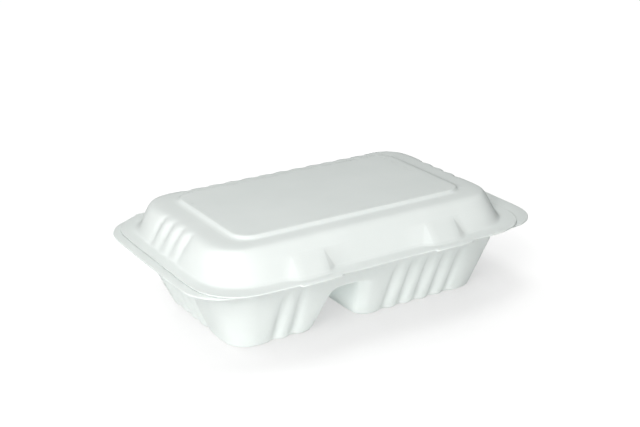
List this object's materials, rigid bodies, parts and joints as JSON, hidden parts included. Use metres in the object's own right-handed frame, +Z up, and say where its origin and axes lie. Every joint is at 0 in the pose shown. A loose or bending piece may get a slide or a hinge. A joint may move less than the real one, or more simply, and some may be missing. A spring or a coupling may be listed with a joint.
{
  "type": "hinged meal box",
  "caption": "Shallow clamshell meal box of moulded sugarcane pulp: fluted tray with two cups and a fluted lid that folds open along its back edge.",
  "frame": {"origin": "on the table under the box, level with the middle of the tray flange's length and the middle of the lid's flat top from front to back", "axes": "+X along the box towards the large cup's end, -Y towards the latches, +Z up from the foot to the lid"},
  "size_m": [0.25, 0.1534, 0.0684],
  "materials": {
    "pulp": "matte"
  },
  "bodies": {
    "tray": {"tray": "pulp"},
    "lid": {"lid": "pulp"}
  },
  "joints": [
    {"name": "lid_hinge", "type": "hinge", "parent": "tray", "child": "lid", "pos_m": [0, 0.071, 0.04875], "axis": [-1, 0, 0], "range_deg": [0, 180]}
  ]
}
